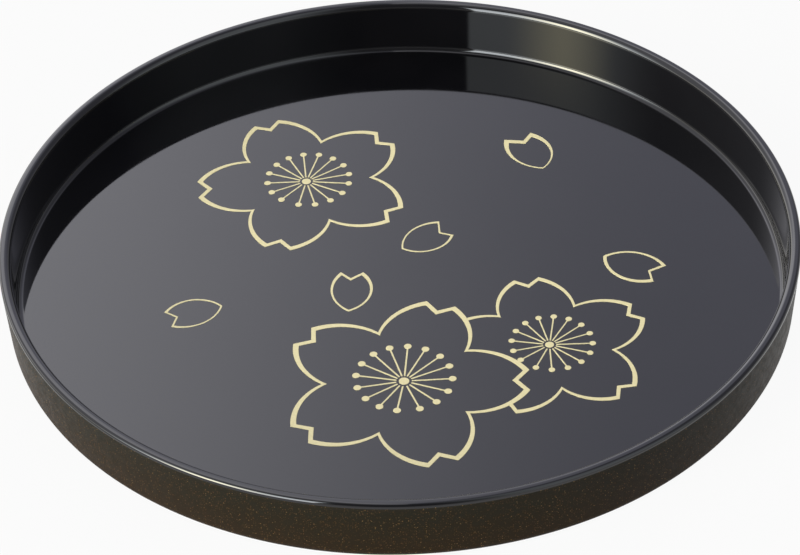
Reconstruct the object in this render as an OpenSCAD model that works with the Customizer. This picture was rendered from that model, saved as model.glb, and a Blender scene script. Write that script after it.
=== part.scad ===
/* [Tray] */
// Overall diameter over the rim
tray_d = 303; // [200:1:400]
// Overall height
tray_h = 27; // [18:0.5:40]
// Rounding of the rim's outer edge
rim_outer_r = 1.15; // [0.6:0.05:1.6]
// Width of the flat on top of the rim
rim_flat = 0.7; // [0.2:0.1:2]
// Rounding of the rim's inner edge
rim_inner_r = 2.35; // [1.2:0.05:3]
// Thickness of the wall where it meets the floor
wall_t = 3.2; // [2:0.1:3.6]
// Outward lean of the wall's inner face from vertical, in degrees
inner_lean = 1.4; // [0:0.2:6]
// Height of the moulded floor's top face above the table
floor_top = 4.25; // [4:0.05:6]
// Radius of the hollow corner between wall and floor
corner_r = 2.4; // [1:0.2:5]

/* [Underside] */
// Width of the ring that the tray stands on
foot_w = 4; // [2:0.5:12]
// Depth of the recess inside the standing ring
recess_depth = 1.9; // [0.5:0.1:2.2]
// Rounding where the wall meets the table
heel_r = 3.3; // [1:0.1:4]

/* [Lacquer] */
// Thickness of each lacquer coat
coat_t = 0.15; // [0.1:0.05:0.3]
// How far the black coat runs down the outside, below the rounded rim
black_skirt = 0.4; // [0.2:0.2:3]

/* [Gold print] */
// Thickness of the printed gold
print_t = 0.1; // [0.05:0.05:0.2]
// Radius of the left blossom, to its lobe tips
left_blossom_r = 42.4; // [20:0.1:45]
// Radius of the front blossom, to its lobe tips
front_blossom_r = 46.6; // [20:0.1:48]
// Radius of the right blossom, to its lobe tips
right_blossom_r = 39.4; // [20:0.1:42]
// Stamens around each blossom's centre, evenly spaced but for one wide gap
stamen_step = 22; // [20:0.5:22]

/* [Hidden] */

rim_w = rim_outer_r + rim_flat + rim_inner_r;
// The outer face leans more than the inner one, so the wall thickens towards the rim
wall_rise = tray_h - rim_outer_r - floor_top;
outer_lean = atan(tan(inner_lean) + (rim_w - wall_t) / wall_rise);
// Centres of the rim's two roundings
rim_outer = [tray_d / 2 - coat_t - rim_outer_r, tray_h - coat_t - rim_outer_r];
rim_inner = [rim_outer[0] - rim_flat, tray_h - coat_t - rim_inner_r];
// Centre of the rounding at the foot of the outer face
heel_x = rim_outer[0]
    + (rim_outer_r - heel_r + (heel_r - rim_outer[1]) * sin(outer_lean)) / cos(outer_lean);
// Centre of the hollow corner inside the tray
corner_z = floor_top + corner_r;
corner_x = rim_inner[0]
    - (rim_inner_r + corner_r - (corner_z - rim_inner[1]) * sin(inner_lean)) / cos(inner_lean);
foot_x = heel_x - foot_w;
// The speckled coat stops this far above the table, part of the way round the heel
coat_lift = 0.1;
heel_coat_turn = asin((heel_r - coat_lift) / (heel_r + coat_t)) - outer_lean;
print_z = floor_top + coat_t;

section_steps = 12;
body_fn = 240;
print_fn = 96;

// Blossom artwork at a radius of 1, with one petal's axis along +X
petals = 5;
// Each side of a petal is an arc: [centre along the axis, centre across it, radius]
petal_outer_arc = [0.55, 0.143, 0.523];
petal_inner_arc = [0.524, 0.14, 0.496];
// The V in a petal's end: [bottom along the axis, lobe tip along it, lobe tip across it]
petal_outer_notch = [0.912, 1.003, 0.12];
petal_inner_notch = [0.864, 0.956, 0.115];
blossom_core_r = 0.3;
// The ring of petals and the ring of stamen tips each sit a little off the centre dot
petal_ring_offset = [-0.017, 0.002];
stamen_ring_offset = [0.034, 0.01];
stamen_ring_r = 0.3845;
stamens = 16;
stamens_before_gap = 11;
stamen_gap = 5;
first_stamen = -30.5;
stamen_tip_r = 0.031;
stamen_thread_w = 0.0135;
stamen_start_r = 0.062;
centre_dot_r = 0.042;

// Placing: [x, y, turn, radius]
left_blossom = [-36.1, 59.8, 39.6, left_blossom_r];
front_blossom = [0, -61.5, 70.9, front_blossom_r];
right_blossom = [54.7, -43.7, 27, right_blossom_r];

// Loose petals: [pointed end x, y, direction, length, spread of the wider lobe, hole].
// The hole in the outline is the petal itself, shrunk about a point: [along, across, scale].
petal_back = [58.2, 63.2, 111, 23.4, 0.29, [0.2, 0, 0.86]];
petal_right = [78.2, 7.3, -30.9, 23.9, 0.25, [0.47, 0.06, 0.875]];
petal_front = [-20.1, -20.8, 87, 23.3, 0.17, [0.36, 0, 0.88]];
petal_left = [-68, -15, 198.5, 21.7, 0.22, [0.42, 0, 0.91]];
petal_middle = [0.8, 15.6, 31.5, 21.2, 0.28, [0.42, 0, 0.912]];
// Loose petal at a length of 1: narrow lobe's spread, bulge of each side, bottom of the V
narrow_lobe = 0.2;
wide_side_bulge = 0.228;
narrow_side_bulge = 0.266;
loose_notch = 0.845;

// Points along an arc about centre c, from angle a to angle b
function arc(c, r, a, b, n = section_steps) =
    [for (i = [0:n]) let (t = a + (b - a) * i / n) [c[0] + r * cos(t), c[1] + r * sin(t)]];

// The rim, from its outer side over the top to its inner side, grown by t
function rim_arcs(t) = concat(
    arc(rim_outer, rim_outer_r + t, -outer_lean, 90),
    arc(rim_inner, rim_inner_r + t, 90, 180 - inner_lean)
);

// The hollow corner, from the wall down to the floor, shrunk by t
function corner_arc(t) = arc([corner_x, corner_z], corner_r - t, -inner_lean, -90);

// The heel, from the wall down and round by an angle, grown by t
function heel_arc(t, turn) = arc([heel_x, heel_r], heel_r + t, -outer_lean, -outer_lean - turn);

// A point on the outer face, a distance down from the rim's rounding, grown by t
function outer_face(t, down) = rim_outer
    + (rim_outer_r + t) * [cos(outer_lean), -sin(outer_lean)]
    - down * [sin(outer_lean), cos(outer_lean)];

function reversed(list) = [for (i = [len(list) - 1:-1:0]) list[i]];

module lathe(section) {
    rotate_extrude($fn = body_fn) polygon(section);
}

module tray_moulding() {
    color("#26231f")
    lathe(concat(
        [[0, floor_top], [0, recess_depth], [foot_x - recess_depth, recess_depth], [foot_x, 0]],
        reversed(heel_arc(0, 90 - outer_lean)),
        [outer_face(0, black_skirt)],
        rim_arcs(0),
        corner_arc(0)
    ));
}

module black_lacquer() {
    color("#15161a")
    lathe(concat(
        [[0, floor_top], [0, floor_top + coat_t]],
        reversed(corner_arc(coat_t)),
        reversed(rim_arcs(coat_t)),
        [outer_face(coat_t, black_skirt), outer_face(0, black_skirt)],
        rim_arcs(0),
        corner_arc(0)
    ));
}

module speckled_lacquer() {
    color("#3d342a")
    lathe(concat(
        [outer_face(0, black_skirt), outer_face(coat_t, black_skirt)],
        heel_arc(coat_t, heel_coat_turn),
        reversed(heel_arc(0, heel_coat_turn))
    ));
}

module underside_lacquer() {
    color("#1b1a19")
    translate([0, 0, recess_depth - coat_t])
    cylinder(h = coat_t, r = foot_x - recess_depth, $fn = body_fn);
}

// Moves unit artwork to a blossom's place, size and turn
module place_blossom(place) {
    translate([place[0], place[1]]) rotate(place[2]) scale(place[3]) children();
}

// A lens of two arcs, with a V cut from its outer end
module blossom_petal(side, notch) {
    difference() {
        intersection() {
            translate([side[0], -side[1]]) circle(side[2], $fn = print_fn);
            translate([side[0], side[1]]) circle(side[2], $fn = print_fn);
        }
        v_cut([notch[0], 0], [notch[1], notch[2]], [notch[1], -notch[2]]);
    }
}

// The wedge that opens from a point through two lobe tips
module v_cut(bottom, tip_a, tip_b) {
    reach = 3;
    polygon([bottom, bottom + reach * (tip_a - bottom), bottom + reach * (tip_b - bottom)]);
}

module blossom_shape(side, notch) {
    translate(petal_ring_offset) {
        circle(blossom_core_r, $fn = print_fn);
        for (i = [0:petals - 1]) rotate(i * 360 / petals) blossom_petal(side, notch);
    }
}

module blossom_silhouette(place) {
    place_blossom(place) blossom_shape(petal_outer_arc, petal_outer_notch);
}

module blossom_outline(place) {
    difference() {
        blossom_silhouette(place);
        place_blossom(place) blossom_shape(petal_inner_arc, petal_inner_notch);
    }
}

// Angle of a stamen on the ring of tips
function stamen_angle(i) =
    first_stamen + i * stamen_step + (i < stamens_before_gap ? 0 : stamen_gap + (i - stamens_before_gap));

module blossom_stamens(place) {
    place_blossom(place)
    for (i = [0:stamens - 1]) {
        a = stamen_angle(i);
        tip = stamen_ring_offset + stamen_ring_r * [cos(a), sin(a)];
        rotate(atan2(tip[1], tip[0])) {
            translate([norm(tip), 0]) circle(stamen_tip_r, $fn = 32);
            translate([stamen_start_r, -stamen_thread_w / 2])
            square([norm(tip) - stamen_start_r, stamen_thread_w]);
        }
    }
}

module blossom_centre(place) {
    place_blossom(place) circle(centre_dot_r, $fn = 48);
}

// A circle through the pointed end and a lobe tip, bulging to the lobe's own side
module side_circle(lobe, bulge) {
    half = norm(lobe) / 2;
    r = (half * half + bulge * bulge) / (2 * bulge);
    rotate(atan2(lobe[1], lobe[0])) translate([half, sign(lobe[1]) * (bulge - r)]) circle(r, $fn = print_fn);
}

module loose_petal_shape(spread) {
    difference() {
        intersection() {
            side_circle([1, spread], wide_side_bulge);
            side_circle([1, -narrow_lobe], narrow_side_bulge);
        }
        v_cut([loose_notch, 0], [1, spread], [1, -narrow_lobe]);
    }
}

module loose_petal(place) {
    hole = place[5];
    translate([place[0], place[1]]) rotate(place[2]) scale(place[3])
    difference() {
        loose_petal_shape(place[4]);
        translate((1 - hole[2]) * [hole[0], hole[1]]) scale(hole[2]) loose_petal_shape(place[4]);
    }
}

module gold_print() {
    color("#e4d596")
    translate([0, 0, print_z]) linear_extrude(print_t) children();
}

// The front blossom lies over the right one and hides part of it
module right_blossom_print() {
    gold_print() difference() {
        children();
        blossom_silhouette(front_blossom);
    }
}

tray_moulding();
black_lacquer();
speckled_lacquer();
underside_lacquer();
gold_print() blossom_outline(left_blossom);  // left_blossom_outline
gold_print() blossom_outline(front_blossom);  // front_blossom_outline
right_blossom_print() blossom_outline(right_blossom);  // right_blossom_outline
gold_print() blossom_stamens(left_blossom);  // left_blossom_stamens
gold_print() blossom_stamens(front_blossom);  // front_blossom_stamens
right_blossom_print() blossom_stamens(right_blossom);  // right_blossom_stamens
gold_print() blossom_centre(left_blossom);  // left_blossom_centre
gold_print() blossom_centre(front_blossom);  // front_blossom_centre
gold_print() blossom_centre(right_blossom);  // right_blossom_centre
gold_print() loose_petal(petal_back);  // loose_petal_back
gold_print() loose_petal(petal_right);  // loose_petal_right
gold_print() loose_petal(petal_front);  // loose_petal_front
gold_print() loose_petal(petal_left);  // loose_petal_left
gold_print() loose_petal(petal_middle);  // loose_petal_middle
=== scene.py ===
import math

import bmesh
import bpy
from mathutils import Matrix, Vector


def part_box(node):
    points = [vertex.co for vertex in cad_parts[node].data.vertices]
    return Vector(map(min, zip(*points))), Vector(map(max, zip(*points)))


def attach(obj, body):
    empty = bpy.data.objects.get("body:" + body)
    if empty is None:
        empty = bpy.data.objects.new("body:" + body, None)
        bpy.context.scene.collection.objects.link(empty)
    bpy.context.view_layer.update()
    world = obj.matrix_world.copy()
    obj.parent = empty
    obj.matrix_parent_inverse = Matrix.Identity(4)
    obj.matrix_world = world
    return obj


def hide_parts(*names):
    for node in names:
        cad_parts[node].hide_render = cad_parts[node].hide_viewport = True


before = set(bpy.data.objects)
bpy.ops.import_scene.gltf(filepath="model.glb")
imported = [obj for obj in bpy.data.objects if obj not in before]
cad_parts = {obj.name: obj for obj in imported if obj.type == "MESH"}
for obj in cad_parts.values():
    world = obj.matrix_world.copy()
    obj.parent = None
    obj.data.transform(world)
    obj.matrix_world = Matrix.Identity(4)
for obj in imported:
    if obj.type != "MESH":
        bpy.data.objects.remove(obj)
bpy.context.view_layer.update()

BODY = "root"
MM = 0.001

# Sections of the tray that its boxes don't give, in millimetres
RIM_OUTER_R = 1.15
RIM_FLAT = 0.7
RIM_INNER_R = 2.35
WALL_T = 3.2
INNER_LEAN = math.radians(1.4)
CORNER_R = 2.4
HEEL_R = 3.3
COAT_EDGE = 0.05
TURN_STEPS = 480
ARC_STEPS = 20
# Extra points that keep flat stretches flat when the mesh is shaded
HOLD = 0.2
HOLD_MOST = 0.4
CORNER_HOLD = 0.3
FLOOR_RING_RADII = (130, 100, 70, 40, 15)
# Edges that fold by more than this many degrees are shaded sharp
SHARP_EDGE = 35

# Blossom artwork at a radius of 1, with one petal's axis along +X
PETALS = 5
OUTER_SIDE = (0.55, 0.143, 0.523)
INNER_SIDE = (0.524, 0.14, 0.496)
OUTER_NOTCH = (0.912, 1.003, 0.12)
INNER_NOTCH = (0.864, 0.956, 0.115)
PETAL_RING_OFFSET = Vector((-0.017, 0.002))
STAMEN_RING_OFFSET = Vector((0.034, 0.01))
STAMEN_RING_R = 0.3845
STAMENS = 16
STAMENS_BEFORE_GAP = 11
STAMEN_STEP = 22
STAMEN_GAP = 5
FIRST_STAMEN = -30.5
STAMEN_TIP_R = 0.031
STAMEN_THREAD_W = 0.0135
STAMEN_START_R = 0.062
CENTRE_DOT_R = 0.042
BLOSSOM_TURNS = {"left": 39.6, "front": 70.9, "right": 27.0}

# Loose petals: direction in degrees, spread of the wider lobe at a length of 1, and the hole in
# the outline: the petal itself, shrunk about a point (along, across, scale)
LOOSE_PETALS = {
    "back": (111.0, 0.29, (0.2, 0.0, 0.86)),
    "right": (-30.9, 0.25, (0.47, 0.06, 0.875)),
    "front": (87.0, 0.17, (0.36, 0.0, 0.88)),
    "left": (198.5, 0.22, (0.42, 0.0, 0.91)),
    "middle": (31.5, 0.28, (0.42, 0.0, 0.912)),
}
NARROW_LOBE = 0.2
WIDE_BULGE = 0.228
NARROW_BULGE = 0.266
LOOSE_NOTCH = 0.845
INK_EDGE = 0.035
SIDE_STEPS = 24
TIP_STEPS = 28
DOT_STEPS = 48
INSET_LEAST = 0.4
CUTTER_MARGIN = 1

# The view of the tray, in degrees and in rim radii from its bottom centre
LENS_MM = 151.07
ELEVATION = 39.756
ROLL = -1.891
DISTANCE = 8.5068
AIM_RIGHT = -0.0021
AIM_UP = 0.0154
SENSOR_MM = 36
CLIP_END_M = 100

# The stage: a pale light table and its size
FLOOR_GLOW = 0.937
FLOOR_HALF_MM = 20000

# The ceiling of the studio: a big soft panel behind and above the tray, brightest to its left.
# Angles are in degrees from straight behind; left is positive.
PANEL_LOW_EDGE = (2, 20)
PANEL_HIGH_EDGE = (92, 118)
PANEL_SIDE_EDGE = (60, 85)
PANEL_DIM = (0.87, 0.88, 1.08)
PANEL_BRIGHT = (3.12, 3.11, 3.33)
PANEL_TURN = (-7, 15)
PANEL_LEFT_FADE, PANEL_LEFT_REST = (44, 10), 0.34
PANEL_RIGHT_FADE, PANEL_RIGHT_REST = (-42, -9), 0.3
# The key: a soft light in front and to the left, with a warm spot. Angles from straight in front.
KEY_NEAR_EDGE = (22.2, 23.4)
KEY_FAR_EDGE = (53, 90)
KEY_FOOT = (-3, 8)
KEY_HEAD = (30, 54)
KEY_TONE = (10, 10.6, 11)
SPOT_NEAR_EDGE = (33, 54)
SPOT_FAR_EDGE = (50, 72)
SPOT_FOOT = (0, 14)
SPOT_HEAD = (34, 40.5)
SPOT_TONE = (17, 15, 8)
# A weak fill in front and to the right; its facing is how far towards -Y, from none of it to all
FILL_FACING = (0.1, -0.4)
FILL_NEAR_EDGE = (-8, -40)
FILL_TONE = (1.1, 1.2, 1.25)
# The dim room, and its walls near the ground: their fade is by the sine of the height
AMBIENT = (0.16, 0.16, 0.17)
HORIZON_FADE = (0.42, 0.1)
HORIZON_RIGHT = (0.26, 0.26, 0.26)
HORIZON_LEFT = (2.2, 2.15, 2.0)
HORIZON_SIDES = (0.22, 0.66)


# ---------------------------------------------------------------- the lathe sections

def box_mm(node):
    low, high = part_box(node)
    return low / MM, high / MM


def tray_sizes():
    """The driving sizes of the tray, read from the boxes of its nodes."""
    black_low, black_high = box_mm("black_lacquer")
    _, moulding_high = box_mm("tray_moulding")
    speckled_low, speckled_high = box_mm("speckled_lacquer")
    under_low, under_high = box_mm("underside_lacquer")
    return {
        "coat": black_high.z - moulding_high.z,
        "rim_x": black_high.x,
        "rim_z": black_high.z,
        "floor_z": black_low.z,
        "skirt_z": speckled_high.z,
        "coat_lift": speckled_low.z,
        "recess_z": under_high.z,
        "recess_x": under_high.x,
    }


def arc(centre, radius, start, end, steps=ARC_STEPS):
    """Points along an arc, angles in radians."""
    points = []
    for i in range(steps + 1):
        t = start + (end - start) * i / steps
        points.append((centre[0] + radius * math.cos(t), centre[1] + radius * math.sin(t)))
    return points


def held_line(a, b):
    """The inside of a straight stretch: one point close to each end keeps its shading flat."""
    share = min(HOLD_MOST, HOLD / math.dist(a, b))
    return [
        (a[0] + (b[0] - a[0]) * share, a[1] + (b[1] - a[1]) * share),
        (b[0] + (a[0] - b[0]) * share, b[1] + (a[1] - b[1]) * share),
    ]


class TraySection:
    """The tray's wall in section, in millimetres: x is the radius, and t grows it into a coat."""

    def __init__(self, sizes):
        self.s = sizes
        top = sizes["rim_z"] - sizes["coat"]
        floor_z = sizes["floor_z"]
        rim_w = RIM_OUTER_R + RIM_FLAT + RIM_INNER_R
        rise = sizes["rim_z"] - RIM_OUTER_R - floor_z
        self.lean = math.atan(math.tan(INNER_LEAN) + (rim_w - WALL_T) / rise)
        self.outer = (sizes["rim_x"] - sizes["coat"] - RIM_OUTER_R, top - RIM_OUTER_R)
        self.inner = (self.outer[0] - RIM_FLAT, top - RIM_INNER_R)
        cos, sin = math.cos(self.lean), math.sin(self.lean)
        heel_step = (RIM_OUTER_R - HEEL_R + (HEEL_R - self.outer[1]) * sin) / cos
        self.heel = (self.outer[0] + heel_step, HEEL_R)
        corner_z = floor_z + CORNER_R
        reach = RIM_INNER_R + CORNER_R - (corner_z - self.inner[1]) * math.sin(INNER_LEAN)
        self.corner = (self.inner[0] - reach / math.cos(INNER_LEAN), corner_z)

    def rim_arcs(self, t):
        outer = arc(self.outer, RIM_OUTER_R + t, -self.lean, math.pi / 2)
        inner = arc(self.inner, RIM_INNER_R + t, math.pi / 2, math.pi - INNER_LEAN)
        return outer + held_line(outer[-1], inner[0]) + inner

    def corner_arc(self, t):
        return arc(self.corner, CORNER_R - t, -INNER_LEAN, -math.pi / 2)

    def heel_arc(self, t, turn):
        return arc(self.heel, HEEL_R + t, -self.lean, -self.lean - turn)

    def skirt_end(self, t):
        """Where the black coat stops on the outer face."""
        cos, sin = math.cos(self.lean), math.sin(self.lean)
        down = (self.outer[1] - RIM_OUTER_R * sin - self.s["skirt_z"]) / cos
        grown = RIM_OUTER_R + t
        return (self.outer[0] + grown * cos - down * sin, self.outer[1] - grown * sin - down * cos)

    def inside(self, t):
        """Rim, wall, hollow corner and floor, from the rim's outer side to the middle."""
        rim, corner = self.rim_arcs(t), self.corner_arc(t)
        floor_z = self.s["floor_z"] + t
        floor = [(corner[-1][0] - CORNER_HOLD, floor_z)]
        floor += [(x, floor_z) for x in FLOOR_RING_RADII]
        return rim + held_line(rim[-1], corner[0]) + corner + floor + [(0, floor_z)]

    def moulding(self):
        heel = self.heel_arc(0, math.pi / 2 - self.lean)
        skirt = self.skirt_end(0)
        top = self.inside(0)
        recess_x, recess_z = self.s["recess_x"], self.s["recess_z"]
        foot_x = recess_x + recess_z
        under = [(0, recess_z), (recess_x * 0.5, recess_z), (recess_x, recess_z), (foot_x, 0)]
        wall = held_line(heel[0], skirt)
        return under + heel[::-1] + wall + [skirt] + top[:-1] + [(0, self.s["floor_z"])]

    def black_coat(self):
        t = self.s["coat"]
        outer, inner = self.skirt_end(t), self.skirt_end(0)
        return self.inside(t)[::-1] + [outer, inner] + self.inside(0)

    def speckled_coat(self):
        t = self.s["coat"]
        turn = math.asin((HEEL_R - self.s["coat_lift"]) / (HEEL_R + t)) - self.lean
        top_in, top_out = self.skirt_end(0), self.skirt_end(t)
        heel_out, heel_in = self.heel_arc(t, turn), self.heel_arc(0, turn)
        down = held_line(top_out, heel_out[0])
        up = held_line(heel_in[0], top_in)
        return [top_in, top_out] + down + heel_out + heel_in[::-1] + up

    def underside_coat(self):
        top, x = self.s["recess_z"], self.s["recess_x"]
        low = top - self.s["coat"]
        flat = [(0, low), (x * 0.5, low), (x - 1, low)]
        return flat + [(x - COAT_EDGE, low), (x, low + COAT_EDGE), (x, top), (0, top)]


def shade(mesh):
    mesh.shade_smooth()
    mesh.set_sharp_from_angle(angle=math.radians(SHARP_EDGE))


def finish_mesh(name, bm, material):
    """Turns a bmesh in millimetres into a shaded piece in metres."""
    bmesh.ops.recalc_face_normals(bm, faces=bm.faces)
    bmesh.ops.scale(bm, vec=(MM, MM, MM), verts=bm.verts)
    mesh = bpy.data.meshes.new(name)
    bm.to_mesh(mesh)
    bm.free()
    shade(mesh)
    piece = bpy.data.objects.new(name, mesh)
    bpy.context.scene.collection.objects.link(piece)
    mesh.materials.append(material)
    return piece


def lathe(name, section, material):
    """Turns a closed section about Z. A point on the axis becomes one vertex."""
    bm = bmesh.new()
    rings = []
    for x, z in section:
        if x < 1e-6:
            rings.append([bm.verts.new((0, 0, z))])
            continue
        ring = []
        for i in range(TURN_STEPS):
            a = 2 * math.pi * i / TURN_STEPS
            ring.append(bm.verts.new((x * math.cos(a), x * math.sin(a), z)))
        rings.append(ring)
    for k, ring in enumerate(rings):
        join_rings(bm, ring, rings[(k + 1) % len(rings)])
    return finish_mesh(name, bm, material)


def join_rings(bm, a, b):
    """Faces between two neighbouring rings of the lathe."""
    if len(a) == 1 and len(b) == 1:
        return
    for i in range(TURN_STEPS):
        j = (i + 1) % TURN_STEPS
        corners = [a[i % len(a)], a[j % len(a)], b[j % len(b)], b[i % len(b)]]
        unique = list(dict.fromkeys(corners))
        bm.faces.new(unique)


# ---------------------------------------------------------------- the gold print

def turned(point, degrees):
    a = math.radians(degrees)
    c, s = math.cos(a), math.sin(a)
    return Vector((c * point[0] - s * point[1], s * point[0] + c * point[1]))


def petal_half(side, notch):
    """The upper half of a blossom petal, from the valley beside it to the bottom of its V."""
    centre = Vector((side[0], -side[1]))
    half_sector = math.radians(180 / PETALS)
    ray = Vector((math.cos(half_sector), math.sin(half_sector)))
    along = ray.dot(centre)
    reach = along + math.sqrt(along * along - centre.length_squared + side[2] ** 2)
    valley = reach * ray
    tip = Vector((notch[1], notch[2]))
    start = math.atan2(valley.y - centre.y, valley.x - centre.x)
    end = math.atan2(tip.y - centre.y, tip.x - centre.x)
    points = [Vector(p) for p in arc(centre, side[2], start, end, SIDE_STEPS)]
    return points + [points[-1].lerp(Vector((notch[0], 0)), 0.5), Vector((notch[0], 0))]


def blossom_loop(side, notch):
    """One closed outline of a blossom, without repeated points."""
    half = petal_half(side, notch)
    mirrored = [Vector((p.x, -p.y)) for p in half]
    petal = mirrored + half[::-1][1:]
    loop = []
    for k in range(PETALS):
        for p in petal[:-1]:
            loop.append(turned(p, 360 / PETALS * k) + PETAL_RING_OFFSET)
    return loop


def stamen_loops():
    """A closed outline for each stamen: a thread that ends in a round tip."""
    loops = []
    for i in range(STAMENS):
        angle = FIRST_STAMEN + i * STAMEN_STEP
        if i >= STAMENS_BEFORE_GAP:
            angle += STAMEN_GAP + i - STAMENS_BEFORE_GAP
        tip = STAMEN_RING_OFFSET + STAMEN_RING_R * turned((1, 0), angle)
        half = STAMEN_THREAD_W / 2
        neck = math.asin(half / STAMEN_TIP_R)
        head = arc((tip.length, 0), STAMEN_TIP_R, math.pi + neck, 3 * math.pi - neck, TIP_STEPS)
        outline = [(STAMEN_START_R, half), (STAMEN_START_R, -half)] + head
        direction = math.degrees(math.atan2(tip.y, tip.x))
        loops.append([turned(p, direction) for p in outline])
    return loops


def side_arc(lobe, bulge):
    """A loose petal's side, from its pointed end at the origin to a lobe tip."""
    half = math.hypot(*lobe) / 2
    radius = (half * half + bulge * bulge) / (2 * bulge)
    side = math.copysign(1, lobe[1])
    sweep = math.asin(half / radius)
    centre = (half, side * (bulge - radius))
    start, end = side * (math.pi / 2 + sweep), side * (math.pi / 2 - sweep)
    points = arc(centre, radius, start, end, SIDE_STEPS)
    return [turned(p, math.degrees(math.atan2(lobe[1], lobe[0]))) for p in points]


def loose_petal_loop(spread):
    wide = side_arc((1, spread), WIDE_BULGE)
    narrow = side_arc((1, -NARROW_LOBE), NARROW_BULGE)
    notch = Vector((LOOSE_NOTCH, 0))
    valley = [narrow[-1].lerp(notch, 0.5), notch, notch.lerp(wide[-1], 0.5)]
    return narrow + valley + wide[::-1][:-1]


def placed(loop, turn, scale, origin):
    return [turned(p, turn) * scale + origin for p in loop]


def inset(loop, distance):
    """The loop moved inwards by a distance. The loop runs counter-clockwise."""
    moved = []
    for i, p in enumerate(loop):
        before = (p - loop[i - 1]).normalized()
        after = (loop[(i + 1) % len(loop)] - p).normalized()
        normal_a = Vector((-before.y, before.x))
        normal_b = Vector((-after.y, after.x))
        middle = (normal_a + normal_b).normalized()
        moved.append(p + middle * (distance / max(INSET_LEAST, middle.dot(normal_a))))
    return moved


def ring_of(bm, loop, z):
    return [bm.verts.new((p.x, p.y, z)) for p in loop]


def bridge(bm, a, b):
    for i in range(len(a)):
        j = (i + 1) % len(a)
        bm.faces.new((a[i], a[j], b[j], b[i]))


def ink_solid(bm, loop, low, high):
    """A filled mark of ink with a softened upper edge."""
    bottom = ring_of(bm, loop, low)
    shoulder = ring_of(bm, loop, high - INK_EDGE)
    top = ring_of(bm, inset(loop, INK_EDGE), high)
    bridge(bm, bottom, shoulder)
    bridge(bm, shoulder, top)
    bm.faces.new(top)
    bm.faces.new(bottom[::-1])


def ink_ring(bm, outer, inner, low, high):
    """An outline of ink between two loops that have the same number of points."""
    rows = [
        ring_of(bm, outer, low),
        ring_of(bm, outer, high - INK_EDGE),
        ring_of(bm, inset(outer, INK_EDGE), high),
        ring_of(bm, inset(inner, -INK_EDGE), high),
        ring_of(bm, inner, high - INK_EDGE),
        ring_of(bm, inner, low),
    ]
    for k, row in enumerate(rows):
        bridge(bm, row, rows[(k + 1) % len(rows)])


def blossom_place(name):
    """Centre and radius of a blossom, from its centre dot and its outline's right-hand edge."""
    low, high = box_mm(f"{name}_blossom_centre")
    centre = ((low + high) / 2).to_2d()
    _, edge = box_mm(f"{name}_blossom_outline")
    unit = [turned(p, BLOSSOM_TURNS[name]) for p in blossom_loop(OUTER_SIDE, OUTER_NOTCH)]
    radius = (edge.x - centre.x) / max(p.x for p in unit)
    return centre, radius


def print_heights(node):
    low, high = box_mm(node)
    return low.z, high.z


def cut_away(piece, cutter):
    """Takes the cutter's space out of a piece, for good."""
    modifier = piece.modifiers.new("overlap", "BOOLEAN")
    modifier.operation = "DIFFERENCE"
    modifier.solver = "EXACT"
    modifier.object = cutter
    graph = bpy.context.evaluated_depsgraph_get()
    mesh = bpy.data.meshes.new_from_object(piece.evaluated_get(graph))
    piece.modifiers.clear()
    piece.data = mesh
    shade(mesh)


def front_silhouette(material):
    """A prism over the whole of the front blossom, which hides what it lies over."""
    centre, radius = blossom_place("front")
    low, high = print_heights("front_blossom_outline")
    bm = bmesh.new()
    loop = placed(blossom_loop(OUTER_SIDE, OUTER_NOTCH), BLOSSOM_TURNS["front"], radius, centre)
    bottom = ring_of(bm, loop, low - CUTTER_MARGIN)
    top = ring_of(bm, loop, high + CUTTER_MARGIN)
    bridge(bm, bottom, top)
    bm.faces.new(top)
    bm.faces.new(bottom[::-1])
    return finish_mesh("front_silhouette", bm, material)


def build_blossom(name, material, cutter=None):
    """Outline, stamens and centre dot of one blossom, as three pieces."""
    turn = BLOSSOM_TURNS[name]
    centre, radius = blossom_place(name)
    low, high = print_heights(f"{name}_blossom_outline")
    bm = bmesh.new()
    outer = placed(blossom_loop(OUTER_SIDE, OUTER_NOTCH), turn, radius, centre)
    inner = placed(blossom_loop(INNER_SIDE, INNER_NOTCH), turn, radius, centre)
    ink_ring(bm, outer, inner, low, high)
    outline = finish_mesh(f"gold_{name}_outline", bm, material)
    bm = bmesh.new()
    for loop in stamen_loops():
        ink_solid(bm, placed(loop, turn, radius, centre), low, high)
    stamens = finish_mesh(f"gold_{name}_stamens", bm, material)
    bm = bmesh.new()
    dot = [Vector(p) for p in arc((0, 0), CENTRE_DOT_R, 0, 2 * math.pi, DOT_STEPS)[:-1]]
    ink_solid(bm, placed(dot, turn, radius, centre), low, high)
    middle = finish_mesh(f"gold_{name}_centre", bm, material)
    if cutter:
        cut_away(outline, cutter)
        cut_away(stamens, cutter)
    stand_in(outline, f"{name}_blossom_outline")
    stand_in(stamens, f"{name}_blossom_stamens")
    stand_in(middle, f"{name}_blossom_centre")


def build_loose_petal(name, turn, spread, hole, material):
    node = f"loose_petal_{name}"
    low, high = box_mm(node)
    unit = loose_petal_loop(spread)
    extent = [turned(p, turn) for p in unit]
    left, right = min(p.x for p in extent), max(p.x for p in extent)
    scale = (high.x - low.x) / (right - left)
    origin = Vector((low.x - left * scale, low.y - min(p.y for p in extent) * scale))
    along, across, shrink = hole
    inner = [Vector((along, across)) * (1 - shrink) + p * shrink for p in unit]
    bm = bmesh.new()
    ink_ring(bm, placed(unit, turn, scale, origin), placed(inner, turn, scale, origin), low.z, high.z)
    stand_in(finish_mesh(f"gold_petal_{name}", bm, material), node)


def stand_in(piece, node):
    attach(piece, BODY)
    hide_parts(node)


# ---------------------------------------------------------------- materials

def new_material(name):
    material = bpy.data.materials.new(name)
    material.use_nodes = True
    tree = material.node_tree
    tree.nodes.clear()
    output = tree.nodes.new("ShaderNodeOutputMaterial")
    shader = tree.nodes.new("ShaderNodeBsdfPrincipled")
    tree.links.new(shader.outputs["BSDF"], output.inputs["Surface"])
    return material, tree, shader


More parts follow.
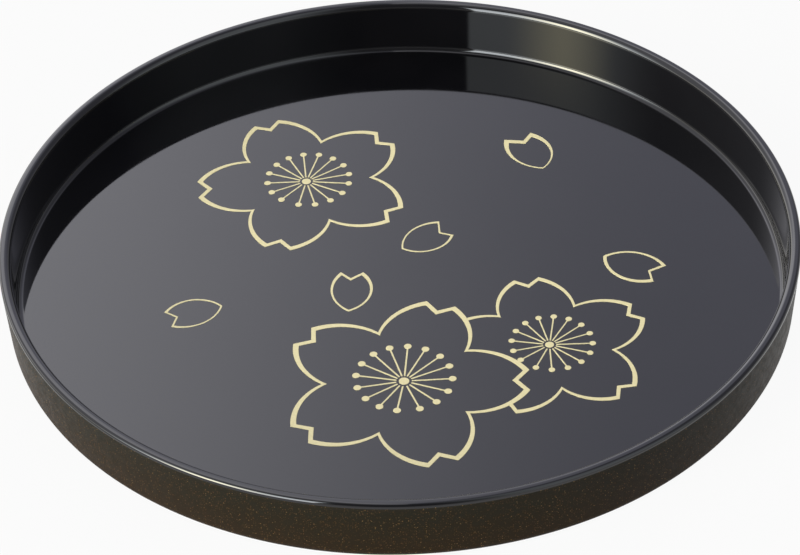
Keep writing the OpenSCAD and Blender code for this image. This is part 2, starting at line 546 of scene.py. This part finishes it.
def node(tree, kind, inputs=None, **settings):
    """A node with its settings, and its inputs linked or given a value."""
    made = tree.nodes.new("ShaderNode" + kind)
    for key, value in settings.items():
        setattr(made, key, value)
    for key, value in (inputs or {}).items():
        if isinstance(value, bpy.types.NodeSocket):
            tree.links.new(value, made.inputs[key])
        else:
            made.inputs[key].default_value = value
    return made


def object_place(tree):
    return node(tree, "TexCoord").outputs["Object"]


def noise(tree, scale, detail=2.0, roughness=0.5):
    made = node(tree, "TexNoise", {
        "Vector": object_place(tree), "Scale": scale, "Detail": detail, "Roughness": roughness,
    })
    return made.outputs["Fac"]


def ramp(tree, value, stops):
    """Colour ramp from (position, colour) stops."""
    made = node(tree, "ValToRGB", {"Fac": value})
    elements = made.color_ramp.elements
    elements[0].position, elements[0].color = stops[0][0], (*stops[0][1], 1)
    elements[1].position, elements[1].color = stops[-1][0], (*stops[-1][1], 1)
    for position, colour in stops[1:-1]:
        elements.new(position).color = (*colour, 1)
    return made.outputs["Color"]


def spread_over(tree, value, low, high, to_low, to_high):
    made = node(tree, "MapRange", {
        "Value": value, "From Min": low, "From Max": high, "To Min": to_low, "To Max": to_high,
    })
    return made.outputs["Result"]


def bump(tree, height, strength, distance):
    made = node(tree, "Bump", {"Height": height, "Strength": strength, "Distance": distance})
    return made.outputs["Normal"]


def wire(tree, shader, tone, roughness, normal):
    tree.links.new(tone, shader.inputs["Base Color"])
    tree.links.new(roughness, shader.inputs["Roughness"])
    tree.links.new(normal, shader.inputs["Normal"])


def black_lacquer():
    """Deep gloss black with a trace of blue, polished, with the faintest waviness."""
    material, tree, shader = new_material("gloss_black_lacquer")
    tone = ramp(tree, noise(tree, 35, 3), [
        (0.3, (0.0016, 0.0016, 0.0021)),
        (0.7, (0.0024, 0.0023, 0.0029)),
    ])
    rough = spread_over(tree, noise(tree, 60, 4, 0.6), 0.3, 0.7, 0.03, 0.06)
    wire(tree, shader, tone, rough, bump(tree, noise(tree, 90, 1), 0.02, 0.0001))
    return material


def speck_mask(tree, scale, size, share, seed):
    """1 on a share of small round specks scattered at random, 0 between them."""
    moved = added(tree, object_place(tree), (seed, seed * 2, seed * 3))
    cells = node(tree, "TexVoronoi", {"Vector": moved, "Scale": scale, "Randomness": 1.0})
    near = spread_over(tree, cells.outputs["Distance"], size, size * 0.55, 0, 1)
    pick = node(tree, "SeparateColor", {"Color": cells.outputs["Color"]}).outputs["Red"]
    chosen = node(tree, "Math", {0: pick, 1: 1 - share}, operation="GREATER_THAN").outputs["Value"]
    made = node(tree, "Math", {0: near, 1: chosen}, operation="MULTIPLY")
    made.use_clamp = True
    return made.outputs["Value"]


def mixed(tree, factor, a, b):
    made = node(tree, "Mix", {"Factor": factor}, data_type="RGBA")
    colour_sockets = [s for s in made.inputs if s.type == "RGBA"]
    for socket, value in zip(colour_sockets, (a, b)):
        if isinstance(value, bpy.types.NodeSocket):
            tree.links.new(value, socket)
        else:
            socket.default_value = (*value, 1)
    return [s for s in made.outputs if s.type == "RGBA"][0]


# Fine brown, rust and gold specks: scale, size, share of cells, seed, colour
SPECKS = (
    (1500, 0.34, 0.55, 3.1, (0.031, 0.0185, 0.0085)),
    (1150, 0.25, 0.4, 7.7, (0.074, 0.037, 0.015)),
    (950, 0.2, 0.26, 1.3, (0.132, 0.084, 0.036)),
)


def speckled_lacquer(sizes):
    """Dark speckled lacquer, from olive black under the rim to red brown at the foot."""
    material, tree, shader = new_material("speckled_brown_lacquer")
    height = node(tree, "SeparateXYZ", {"Vector": object_place(tree)}).outputs["Z"]
    climb = spread_over(tree, height, 0.0, sizes["skirt_z"] * MM, 0, 1)
    grain = spread_over(tree, noise(tree, 260, 4, 0.6), 0.35, 0.65, -0.18, 0.18)
    shifted = node(tree, "Math", {0: climb, 1: grain}, operation="ADD").outputs["Value"]
    base = ramp(tree, shifted, [
        (0.0, (0.0116, 0.0070, 0.0036)),
        (0.5, (0.0098, 0.0070, 0.0038)),
        (1.0, (0.0082, 0.0073, 0.0047)),
    ])
    tone = base
    for scale, size, share, seed, speck in SPECKS:
        tone = mixed(tree, speck_mask(tree, scale, size, share, seed), tone, speck)
    rough = spread_over(tree, noise(tree, 400, 3), 0.3, 0.7, 0.36, 0.48)
    wire(tree, shader, tone, rough, bump(tree, noise(tree, 900, 3), 0.05, 0.0001))
    shader.inputs["Specular IOR Level"].default_value = 0.04
    return material


def satin_black():
    """Satin black paint in the recess underneath."""
    material, tree, shader = new_material("satin_black_lacquer")
    tone = ramp(tree, noise(tree, 80, 4), [(0.3, (0.009, 0.0085, 0.008)), (0.7, (0.014, 0.013, 0.012))])
    rough = spread_over(tree, noise(tree, 300, 4), 0.3, 0.7, 0.34, 0.48)
    wire(tree, shader, tone, rough, bump(tree, noise(tree, 1500, 2), 0.1, 0.0001))
    return material


def moulded_resin():
    """The bare dark resin that shows on the standing ring."""
    material, tree, shader = new_material("moulded_resin")
    tone = ramp(tree, noise(tree, 120, 5), [(0.25, (0.026, 0.021, 0.017)), (0.75, (0.038, 0.031, 0.025))])
    rough = spread_over(tree, noise(tree, 500, 4), 0.3, 0.7, 0.5, 0.65)
    wire(tree, shader, tone, rough, bump(tree, noise(tree, 2200, 2), 0.2, 0.0001))
    return material


def gold_ink():
    """Pale gold printed ink with a fine metallic grain."""
    material, tree, shader = new_material("pale_gold_print")
    tone = ramp(tree, noise(tree, 1400, 4, 0.7), [
        (0.25, (0.41, 0.362, 0.192)),
        (0.55, (0.457, 0.406, 0.222)),
        (0.8, (0.505, 0.45, 0.256)),
    ])
    rough = spread_over(tree, noise(tree, 900, 3), 0.3, 0.7, 0.38, 0.52)
    wire(tree, shader, tone, rough, bump(tree, noise(tree, 2600, 2), 0.15, 0.00005))
    shader.inputs["Metallic"].default_value = 0.25
    return material


def pale_floor():
    """A pale light table: mostly its own even light, so it takes hardly any shadow."""
    material, tree, shader = new_material("pale_floor")
    tone = ramp(tree, noise(tree, 3, 2), [
        (0.3, (0.014, 0.014, 0.014)),
        (0.7, (0.016, 0.016, 0.016)),
    ])
    tree.links.new(tone, shader.inputs["Base Color"])
    shader.inputs["Roughness"].default_value = 0.9
    shader.inputs["Specular IOR Level"].default_value = 0.0
    shader.inputs["Emission Color"].default_value = (1, 1, 1, 1)
    shader.inputs["Emission Strength"].default_value = FLOOR_GLOW
    return material


# ---------------------------------------------------------------- stage, light and camera

def build_floor():
    bm = bmesh.new()
    half = FLOOR_HALF_MM
    signs = ((-1, -1), (1, -1), (1, 1), (-1, 1))
    bm.faces.new([bm.verts.new((x * half, y * half, 0)) for x, y in signs])
    floor = finish_mesh("studio_floor", bm, pale_floor())


def soft_step(tree, value, low, high, least=0.0):
    """The least amount at low, 1 at high, smooth between; low may be the larger. Given as numbers."""
    made = node(tree, "MapRange", {
        "Value": value, "From Min": low, "From Max": high, "To Min": least,
    }, interpolation_type="SMOOTHSTEP")
    return made.outputs["Result"]


def angle_step(tree, value, edges, least=0.0):
    return soft_step(tree, value, math.radians(edges[0]), math.radians(edges[1]), least)


def calc(tree, operation, a, b):
    return node(tree, "Math", {0: a, 1: b}, operation=operation).outputs["Value"]


def scaled(tree, vector, factor):
    return node(tree, "VectorMath", {0: vector, "Scale": factor}, operation="SCALE").outputs["Vector"]


def mixed_vectors(tree, factor, a, b):
    made = node(tree, "Mix", {"Factor": factor}, data_type="VECTOR")
    made.inputs[4].default_value, made.inputs[5].default_value = a, b
    return made.outputs[1]


def added(tree, a, b):
    return node(tree, "VectorMath", {0: a, 1: b}, operation="ADD").outputs["Vector"]


def product(tree, *values):
    total = values[0]
    for value in values[1:]:
        total = calc(tree, "MULTIPLY", total, value)
    return total


def backwards(edges):
    return edges[1], edges[0]


def opposite(tree, value):
    return calc(tree, "MULTIPLY", value, -1)


def ceiling_panel(tree, axes):
    """The soft panel that the gloss floor reflects."""
    back, up = axes.outputs["Y"], axes.outputs["Z"]
    left = opposite(tree, axes.outputs["X"])
    rise = calc(tree, "ARCTAN2", up, back)
    turn = calc(tree, "ARCTAN2", left, back)
    off_axis = calc(tree, "ARCSINE", calc(tree, "ABSOLUTE", left, 0), 0)
    amount = product(
        tree,
        angle_step(tree, rise, PANEL_LOW_EDGE),
        angle_step(tree, rise, backwards(PANEL_HIGH_EDGE)),
        angle_step(tree, off_axis, backwards(PANEL_SIDE_EDGE)),
        angle_step(tree, turn, PANEL_LEFT_FADE, PANEL_LEFT_REST),
        angle_step(tree, turn, PANEL_RIGHT_FADE, PANEL_RIGHT_REST),
    )
    tone = mixed_vectors(tree, angle_step(tree, turn, PANEL_TURN), PANEL_DIM, PANEL_BRIGHT)
    return scaled(tree, tone, amount)


def front_turn(tree, axes):
    """Angle from straight in front of the tray, growing to the left."""
    left, front = opposite(tree, axes.outputs["X"]), opposite(tree, axes.outputs["Y"])
    return calc(tree, "ARCTAN2", left, front)


def patch(tree, axes, near, far, foot, head, tone):
    """A soft-edged light: near and far are edges round the tray, foot and head its heights."""
    turn = front_turn(tree, axes)
    rise = calc(tree, "ARCSINE", axes.outputs["Z"], 0)
    amount = product(
        tree,
        angle_step(tree, turn, near),
        angle_step(tree, turn, backwards(far)),
        angle_step(tree, rise, foot),
        angle_step(tree, rise, backwards(head)),
    )
    return scaled(tree, tone, amount)


def front_fill(tree, axes):
    facing = soft_step(tree, axes.outputs["Y"], *FILL_FACING)
    amount = product(tree, facing, angle_step(tree, front_turn(tree, axes), FILL_NEAR_EDGE))
    return scaled(tree, FILL_TONE, amount)


def ground(tree, axes):
    """The studio's walls near the ground."""
    left = opposite(tree, axes.outputs["X"])
    tone = mixed_vectors(tree, soft_step(tree, left, *HORIZON_SIDES), HORIZON_RIGHT, HORIZON_LEFT)
    return scaled(tree, tone, soft_step(tree, axes.outputs["Z"], *HORIZON_FADE))


def build_world():
    """A studio: ceiling panel, key light with its warm spot, fill, and walls near the ground."""
    world = bpy.data.worlds.new("studio")
    bpy.context.scene.world = world
    world.use_nodes = True
    tree = world.node_tree
    tree.nodes.clear()
    output = tree.nodes.new("ShaderNodeOutputWorld")
    background = tree.nodes.new("ShaderNodeBackground")
    tree.links.new(background.outputs["Background"], output.inputs["Surface"])
    axes = node(tree, "SeparateXYZ", {"Vector": node(tree, "TexCoord").outputs["Generated"]})
    total = AMBIENT
    for light in (
        ceiling_panel(tree, axes),
        patch(tree, axes, KEY_NEAR_EDGE, KEY_FAR_EDGE, KEY_FOOT, KEY_HEAD, KEY_TONE),
        patch(tree, axes, SPOT_NEAR_EDGE, SPOT_FAR_EDGE, SPOT_FOOT, SPOT_HEAD, SPOT_TONE),
        front_fill(tree, axes),
        ground(tree, axes),
    ):
        total = added(tree, light, total)
    tree.links.new(total, background.inputs["Color"])


def build_camera(rim_radius):
    camera = bpy.data.cameras.new("camera")
    camera.sensor_width = SENSOR_MM
    camera.lens = LENS_MM
    camera.clip_end = CLIP_END_M
    seat = bpy.data.objects.new("camera", camera)
    pitch, roll = math.radians(ELEVATION), math.radians(ROLL)
    back = Vector((0, -math.cos(pitch), math.sin(pitch)))
    level_up = Vector((0, math.sin(pitch), math.cos(pitch)))
    level_right = Vector((1, 0, 0))
    right = level_right * math.cos(roll) + level_up * math.sin(roll)
    up = level_up * math.cos(roll) - level_right * math.sin(roll)
    place = (back * DISTANCE + right * AIM_RIGHT + up * AIM_UP) * rim_radius
    axes = Matrix((right, up, back)).transposed().to_4x4()
    seat.matrix_world = Matrix.Translation(place) @ axes
    bpy.context.scene.collection.objects.link(seat)
    bpy.context.scene.camera = seat


def build_tray(sizes):
    section = TraySection(sizes)
    body = lathe("moulded_body", section.moulding(), moulded_resin())
    stand_in(body, "tray_moulding")
    black = lathe("black_coat", section.black_coat(), black_lacquer())
    stand_in(black, "black_lacquer")
    speckled = lathe("speckled_coat", section.speckled_coat(), speckled_lacquer(sizes))
    stand_in(speckled, "speckled_lacquer")
    under = lathe("underside_coat", section.underside_coat(), satin_black())
    stand_in(under, "underside_lacquer")


def build_print():
    gold = gold_ink()
    cutter = front_silhouette(gold)
    build_blossom("left", gold)
    build_blossom("front", gold)
    build_blossom("right", gold, cutter)
    bpy.data.objects.remove(cutter)
    for name, (turn, spread, hole) in LOOSE_PETALS.items():
        build_loose_petal(name, turn, spread, hole, gold)


bpy.context.scene.view_settings.view_transform = "Standard"
SIZES = tray_sizes()
build_camera(SIZES["rim_x"] * MM)
build_tray(SIZES)
build_print()
build_floor()
build_world()
